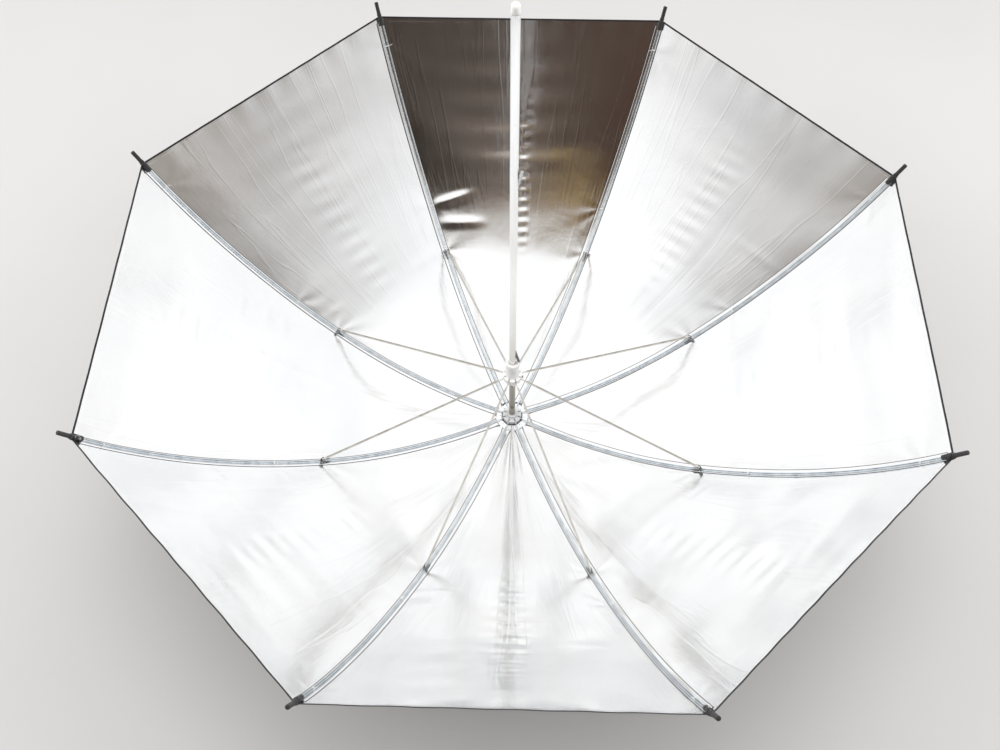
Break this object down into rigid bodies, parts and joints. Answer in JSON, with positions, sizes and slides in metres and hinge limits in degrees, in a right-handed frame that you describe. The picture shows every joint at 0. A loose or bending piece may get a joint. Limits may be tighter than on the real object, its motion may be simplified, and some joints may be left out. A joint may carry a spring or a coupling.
{
  "type": "umbrella reflector",
  "caption": "Folding umbrella reflector with a silver-lined, black-backed cloth bowl on sprung steel ribs, a sliding runner and a straight shaft for a lamp head's clamp.",
  "frame": {"origin": "middle of the clamped stretch of the shaft, on the shaft's axis", "axes": "+Z along the shaft from the hub towards its free end, the way the bowl opens; +X through the middle of a gore and through the runner's catch"},
  "size_m": [0.899, 0.899, 0.694],
  "materials": {
    "shaft_chrome": "polished, with fine lengthwise drawing marks",
    "white_plastic": "satin, slightly translucent",
    "grey_plastic": "satin",
    "dark_steel": "dark, oiled",
    "rib_steel": "bright plated, with rolled flutes",
    "stretcher_steel": "bright plated",
    "black_plastic": "satin",
    "tip_rubber": "matte",
    "canopy_cloth": "silver reflective coating inside, black outside",
    "black_cloth": "matte woven"
  },
  "bodies": {
    "shaft": {"shaft_tube": "shaft_chrome", "end_cap": "white_plastic", "stop_pin": "dark_steel", "hub": "grey_plastic", "hub_wire": "dark_steel", "hub_pin": "dark_steel", "ferrule": "black_plastic", "rosette": "black_cloth"},
    "catch_open": {"catch_open": "dark_steel"},
    "catch_closed": {"catch_closed": "dark_steel"},
    "runner": {"runner": "white_plastic"},
    "rib_1": {"rib_in_1": "rib_steel", "canopy_in_1": "canopy_cloth"},
    "rib_2": {"rib_in_2": "rib_steel", "canopy_in_2": "canopy_cloth"},
    "rib_3": {"rib_in_3": "rib_steel", "canopy_in_3": "canopy_cloth"},
    "rib_4": {"rib_in_4": "rib_steel", "canopy_in_4": "canopy_cloth"},
    "rib_5": {"rib_in_5": "rib_steel", "canopy_in_5": "canopy_cloth"},
    "rib_6": {"rib_in_6": "rib_steel", "canopy_in_6": "canopy_cloth"},
    "rib_7": {"rib_in_7": "rib_steel", "canopy_in_7": "canopy_cloth"},
    "rib_8": {"rib_in_8": "rib_steel", "canopy_in_8": "canopy_cloth"},
    "rib_end_1": {"rib_out_1": "rib_steel", "tip_1": "tip_rubber", "canopy_out_1": "canopy_cloth"},
    "rib_end_2": {"rib_out_2": "rib_steel", "tip_2": "tip_rubber", "canopy_out_2": "canopy_cloth"},
    "rib_end_3": {"rib_out_3": "rib_steel", "tip_3": "tip_rubber", "canopy_out_3": "canopy_cloth"},
    "rib_end_4": {"rib_out_4": "rib_steel", "tip_4": "tip_rubber", "canopy_out_4": "canopy_cloth"},
    "rib_end_5": {"rib_out_5": "rib_steel", "tip_5": "tip_rubber", "canopy_out_5": "canopy_cloth"},
    "rib_end_6": {"rib_out_6": "rib_steel", "tip_6": "tip_rubber", "canopy_out_6": "canopy_cloth"},
    "rib_end_7": {"rib_out_7": "rib_steel", "tip_7": "tip_rubber", "canopy_out_7": "canopy_cloth"},
    "rib_end_8": {"rib_out_8": "rib_steel", "tip_8": "tip_rubber", "canopy_out_8": "canopy_cloth"},
    "stretcher_1": {"stretcher_1": "stretcher_steel"},
    "stretcher_2": {"stretcher_2": "stretcher_steel"},
    "stretcher_3": {"stretcher_3": "stretcher_steel"},
    "stretcher_4": {"stretcher_4": "stretcher_steel"},
    "stretcher_5": {"stretcher_5": "stretcher_steel"},
    "stretcher_6": {"stretcher_6": "stretcher_steel"},
    "stretcher_7": {"stretcher_7": "stretcher_steel"},
    "stretcher_8": {"stretcher_8": "stretcher_steel"}
  },
  "joints": [
    {"name": "runner_slide", "type": "slide", "parent": "shaft", "child": "runner", "axis": [0, 0, 1], "range_m": [0, 0.38029], "deforming": ["catch_open", "catch_closed"]},
    {"name": "catch_open_press", "type": "hinge", "parent": "shaft", "child": "catch_open", "pos_m": [0.0019, 0, -0.42819], "axis": [0, 1, 0], "range_deg": [0, 10], "stiffness_Nm_per_rad": 0.4},
    {"name": "catch_closed_press", "type": "hinge", "parent": "shaft", "child": "catch_closed", "pos_m": [0.0019, 0, -0.1514], "axis": [0, -1, 0], "range_deg": [0, 10], "stiffness_Nm_per_rad": 0.4},
    {"name": "rib_fold_1", "type": "hinge", "parent": "shaft", "child": "rib_1", "pos_m": [0.00924, 0.00383, -0.5865], "axis": [0.3827, -0.9239, 0], "range_deg": [0, 75.67], "deforming": ["canopy_in_1"]},
    {"name": "rib_fold_2", "type": "hinge", "parent": "shaft", "child": "rib_2", "pos_m": [0.00383, 0.00924, -0.5865], "axis": [0.9239, -0.3827, 0], "range_deg": [0, 75.67], "deforming": ["canopy_in_2"]},
    {"name": "rib_fold_3", "type": "hinge", "parent": "shaft", "child": "rib_3", "pos_m": [-0.00383, 0.00924, -0.5865], "axis": [0.9239, 0.3827, 0], "range_deg": [0, 75.67], "deforming": ["canopy_in_3"]},
    {"name": "rib_fold_4", "type": "hinge", "parent": "shaft", "child": "rib_4", "pos_m": [-0.00924, 0.00383, -0.5865], "axis": [0.3827, 0.9239, 0], "range_deg": [0, 75.67], "deforming": ["canopy_in_4"]},
    {"name": "rib_fold_5", "type": "hinge", "parent": "shaft", "child": "rib_5", "pos_m": [-0.00924, -0.00383, -0.5865], "axis": [-0.3827, 0.9239, 0], "range_deg": [0, 75.67], "deforming": ["canopy_in_5"]},
    {"name": "rib_fold_6", "type": "hinge", "parent": "shaft", "child": "rib_6", "pos_m": [-0.00383, -0.00924, -0.5865], "axis": [-0.9239, 0.3827, 0], "range_deg": [0, 75.67], "deforming": ["canopy_in_6"]},
    {"name": "rib_fold_7", "type": "hinge", "parent": "shaft", "child": "rib_7", "pos_m": [0.00383, -0.00924, -0.5865], "axis": [-0.9239, -0.3827, 0], "range_deg": [0, 75.67], "deforming": ["canopy_in_7"]},
    {"name": "rib_fold_8", "type": "hinge", "parent": "shaft", "child": "rib_8", "pos_m": [0.00924, -0.00383, -0.5865], "axis": [-0.3827, -0.9239, 0], "range_deg": [0, 75.67], "deforming": ["canopy_in_8"]},
    {"name": "rib_flex_1", "type": "hinge", "parent": "rib_1", "child": "rib_end_1", "pos_m": [0.22774, 0.09433, -0.541], "axis": [-0.3827, 0.9239, 0], "range_deg": [0, 28.51], "deforming": ["canopy_out_1"]},
    {"name": "rib_flex_2", "type": "hinge", "parent": "rib_2", "child": "rib_end_2", "pos_m": [0.09433, 0.22774, -0.541], "axis": [-0.9239, 0.3827, 0], "range_deg": [0, 28.51], "deforming": ["canopy_out_2"]},
    {"name": "rib_flex_3", "type": "hinge", "parent": "rib_3", "child": "rib_end_3", "pos_m": [-0.09433, 0.22774, -0.541], "axis": [-0.9239, -0.3827, 0], "range_deg": [0, 28.51], "deforming": ["canopy_out_3"]},
    {"name": "rib_flex_4", "type": "hinge", "parent": "rib_4", "child": "rib_end_4", "pos_m": [-0.22774, 0.09433, -0.541], "axis": [-0.3827, -0.9239, 0], "range_deg": [0, 28.51], "deforming": ["canopy_out_4"]},
    {"name": "rib_flex_5", "type": "hinge", "parent": "rib_5", "child": "rib_end_5", "pos_m": [-0.22774, -0.09433, -0.541], "axis": [0.3827, -0.9239, 0], "range_deg": [0, 28.51], "deforming": ["canopy_out_5"]},
    {"name": "rib_flex_6", "type": "hinge", "parent": "rib_6", "child": "rib_end_6", "pos_m": [-0.09433, -0.22774, -0.541], "axis": [0.9239, -0.3827, 0], "range_deg": [0, 28.51], "deforming": ["canopy_out_6"]},
    {"name": "rib_flex_7", "type": "hinge", "parent": "rib_7", "child": "rib_end_7", "pos_m": [0.09433, -0.22774, -0.541], "axis": [0.9239, 0.3827, 0], "range_deg": [0, 28.51], "deforming": ["canopy_out_7"]},
    {"name": "rib_flex_8", "type": "hinge", "parent": "rib_8", "child": "rib_end_8", "pos_m": [0.22774, -0.09433, -0.541], "axis": [0.3827, 0.9239, 0], "range_deg": [0, 28.51], "deforming": ["canopy_out_8"]},
    {"name": "stretcher_turn_1", "type": "hinge", "parent": "rib_1", "child": "stretcher_1", "pos_m": [0.22583, 0.09354, -0.53734], "axis": [-0.3827, 0.9239, 0], "range_deg": [0, 151.33]},
    {"name": "stretcher_turn_2", "type": "hinge", "parent": "rib_2", "child": "stretcher_2", "pos_m": [0.09354, 0.22583, -0.53734], "axis": [-0.9239, 0.3827, 0], "range_deg": [0, 151.33]},
    {"name": "stretcher_turn_3", "type": "hinge", "parent": "rib_3", "child": "stretcher_3", "pos_m": [-0.09354, 0.22583, -0.53734], "axis": [-0.9239, -0.3827, 0], "range_deg": [0, 151.33]},
    {"name": "stretcher_turn_4", "type": "hinge", "parent": "rib_4", "child": "stretcher_4", "pos_m": [-0.22583, 0.09354, -0.53734], "axis": [-0.3827, -0.9239, 0], "range_deg": [0, 151.33]},
    {"name": "stretcher_turn_5", "type": "hinge", "parent": "rib_5", "child": "stretcher_5", "pos_m": [-0.22583, -0.09354, -0.53734], "axis": [0.3827, -0.9239, 0], "range_deg": [0, 151.33]},
    {"name": "stretcher_turn_6", "type": "hinge", "parent": "rib_6", "child": "stretcher_6", "pos_m": [-0.09354, -0.22583, -0.53734], "axis": [0.9239, -0.3827, 0], "range_deg": [0, 151.33]},
    {"name": "stretcher_turn_7", "type": "hinge", "parent": "rib_7", "child": "stretcher_7", "pos_m": [0.09354, -0.22583, -0.53734], "axis": [0.9239, 0.3827, 0], "range_deg": [0, 151.33]},
    {"name": "stretcher_turn_8", "type": "hinge", "parent": "rib_8", "child": "stretcher_8", "pos_m": [0.22583, -0.09354, -0.53734], "axis": [0.3827, 0.9239, 0], "range_deg": [0, 151.33]}
  ],
  "couplings": [
    {"joint": "rib_fold_1", "follows": "runner_slide", "rad_per_m": 3.4723},
    {"joint": "rib_fold_2", "follows": "runner_slide", "rad_per_m": 3.4723},
    {"joint": "rib_fold_3", "follows": "runner_slide", "rad_per_m": 3.4723},
    {"joint": "rib_fold_4", "follows": "runner_slide", "rad_per_m": 3.4723},
    {"joint": "rib_fold_5", "follows": "runner_slide", "rad_per_m": 3.4723},
    {"joint": "rib_fold_6", "follows": "runner_slide", "rad_per_m": 3.4723},
    {"joint": "rib_fold_7", "follows": "runner_slide", "rad_per_m": 3.4723},
    {"joint": "rib_fold_8", "follows": "runner_slide", "rad_per_m": 3.4723},
    {"joint": "rib_flex_1", "follows": "runner_slide", "rad_per_m": 1.308},
    {"joint": "rib_flex_2", "follows": "runner_slide", "rad_per_m": 1.308},
    {"joint": "rib_flex_3", "follows": "runner_slide", "rad_per_m": 1.308},
    {"joint": "rib_flex_4", "follows": "runner_slide", "rad_per_m": 1.308},
    {"joint": "rib_flex_5", "follows": "runner_slide", "rad_per_m": 1.308},
    {"joint": "rib_flex_6", "follows": "runner_slide", "rad_per_m": 1.308},
    {"joint": "rib_flex_7", "follows": "runner_slide", "rad_per_m": 1.308},
    {"joint": "rib_flex_8", "follows": "runner_slide", "rad_per_m": 1.308},
    {"joint": "stretcher_turn_1", "follows": "runner_slide", "rad_per_m": 6.9446},
    {"joint": "stretcher_turn_2", "follows": "runner_slide", "rad_per_m": 6.9446},
    {"joint": "stretcher_turn_3", "follows": "runner_slide", "rad_per_m": 6.9446},
    {"joint": "stretcher_turn_4", "follows": "runner_slide", "rad_per_m": 6.9446},
    {"joint": "stretcher_turn_5", "follows": "runner_slide", "rad_per_m": 6.9446},
    {"joint": "stretcher_turn_6", "follows": "runner_slide", "rad_per_m": 6.9446},
    {"joint": "stretcher_turn_7", "follows": "runner_slide", "rad_per_m": 6.9446},
    {"joint": "stretcher_turn_8", "follows": "runner_slide", "rad_per_m": 6.9446}
  ]
}
